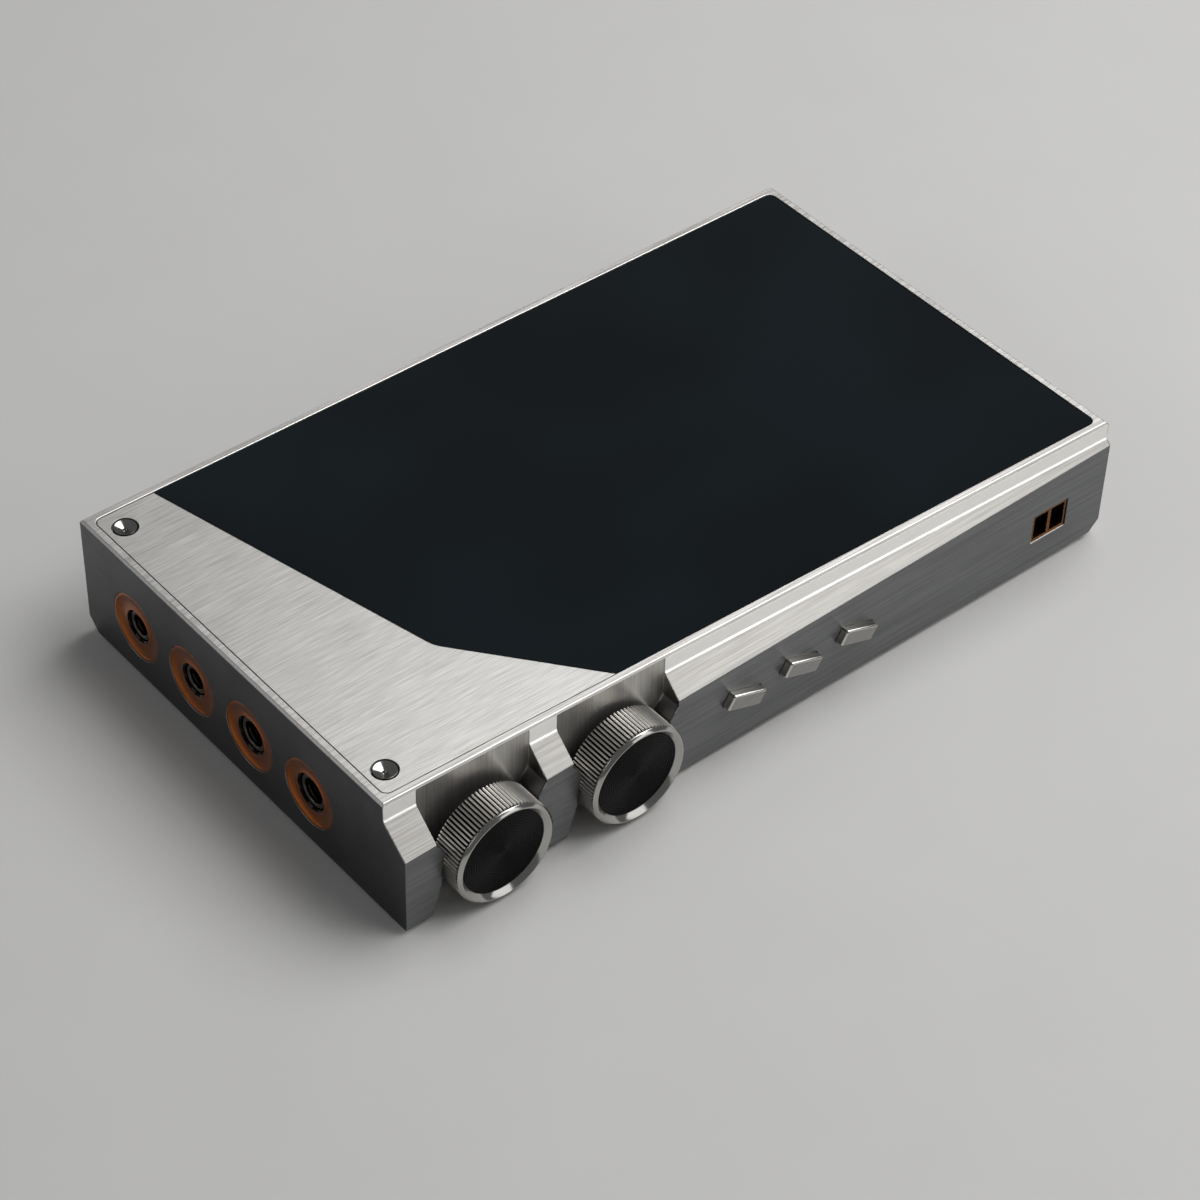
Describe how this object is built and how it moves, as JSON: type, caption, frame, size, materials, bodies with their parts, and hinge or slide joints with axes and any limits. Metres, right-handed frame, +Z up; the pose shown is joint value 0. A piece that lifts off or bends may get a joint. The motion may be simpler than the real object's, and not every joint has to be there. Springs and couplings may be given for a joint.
{
  "type": "digital audio player",
  "caption": "Pocket-size digital audio player: milled steel body with dark glass back, knurled side knobs in milled pockets, slanted keys and dished bronze plug sockets.",
  "frame": {"origin": "middle of the outline, knobs included, on the face of the screen glass that it lies on", "axes": "+X towards the knob side, +Y from the plug socket end to the far end, +Z up out of the glass back"},
  "size_m": [0.0966, 0.16, 0.0256],
  "materials": {
    "frame_steel": "milled and satin brushed along its length, bright cut edges",
    "plate_steel": "straight long-grain brushing along the length",
    "polished_steel": "polished",
    "knob_steel": "turned and polished, straight knurling",
    "key_steel": "satin face, polished edges",
    "back_glass": "near black blue, glossy, printed from behind",
    "screen_glass": "black, glossy",
    "display": "dark",
    "inner_aluminium": "milled",
    "circuit_board": "dark solder mask",
    "post_brass": "turned",
    "dark_screw": "blackened steel",
    "cell_foil": "foil pouch",
    "capacitor_sleeve": "shrink sleeve",
    "tin_shield": "tinned sheet",
    "copper_shield": "copper sheet",
    "encoder_case": "dark metal case",
    "knob_disc": "black, fine turned rings",
    "socket_copper": "copper coloured plating",
    "socket_plastic": "moulded black",
    "ring_bronze": "turned bronze, dished",
    "barrel_nickel": "nickel plated"
  },
  "bodies": {
    "player": {"housing": "frame_steel", "back_plate": "plate_steel", "back_glass": "back_glass", "back_screws": "polished_steel", "screen_glass": "screen_glass", "display_panel": "display", "carrier_plate": "inner_aluminium", "amplifier_board": "circuit_board", "main_board": "circuit_board", "low_posts": "post_brass", "tall_posts": "post_brass", "board_screws": "dark_screw", "battery_cell_a": "cell_foil", "battery_cell_b": "cell_foil", "filter_capacitors": "capacitor_sleeve", "processor_shield": "tin_shield", "converter_shield": "copper_shield", "volume_encoder": "encoder_case", "select_encoder": "encoder_case", "encoder_nuts": "tin_shield", "jack_ring_1": "ring_bronze", "jack_ring_2": "ring_bronze", "jack_ring_3": "ring_bronze", "jack_ring_4": "ring_bronze", "jack_barrel_1": "barrel_nickel", "jack_barrel_2": "barrel_nickel", "jack_barrel_3": "barrel_nickel", "jack_barrel_4": "barrel_nickel", "jack_case_1": "socket_plastic", "jack_case_2": "socket_plastic", "jack_case_3": "socket_plastic", "jack_case_4": "socket_plastic", "jack_leaves": "post_brass", "key_switches": "encoder_case", "key_board": "circuit_board", "side_socket": "socket_copper", "usb_shell": "tin_shield", "usb_tongue": "socket_plastic"},
    "volume_control": {"volume_knob": "knob_steel", "volume_disc": "knob_disc", "volume_shaft": "polished_steel"},
    "select_control": {"select_knob": "knob_steel", "select_disc": "knob_disc", "select_shaft": "polished_steel"},
    "back_button": {"key_back": "key_steel"},
    "play_button": {"key_play": "key_steel"},
    "next_button": {"key_next": "key_steel"}
  },
  "joints": [
    {"name": "volume_turn", "type": "hinge", "parent": "player", "child": "volume_control", "pos_m": [0.0445, -0.0622, 0.0104], "axis": [1, 0, 0], "continuous": true},
    {"name": "select_turn", "type": "hinge", "parent": "player", "child": "select_control", "pos_m": [0.0445, -0.0339, 0.0104], "axis": [1, 0, 0], "continuous": true},
    {"name": "key_back_press", "type": "slide", "parent": "player", "child": "back_button", "axis": [-1, 0, 0], "range_m": [0, 0.00035], "stiffness_N_per_m": 1500, "springref_m": -0.0003},
    {"name": "key_play_press", "type": "slide", "parent": "player", "child": "play_button", "axis": [-1, 0, 0], "range_m": [0, 0.00035], "stiffness_N_per_m": 1500, "springref_m": -0.0003},
    {"name": "key_next_press", "type": "slide", "parent": "player", "child": "next_button", "axis": [-1, 0, 0], "range_m": [0, 0.00035], "stiffness_N_per_m": 1500, "springref_m": -0.0003}
  ]
}
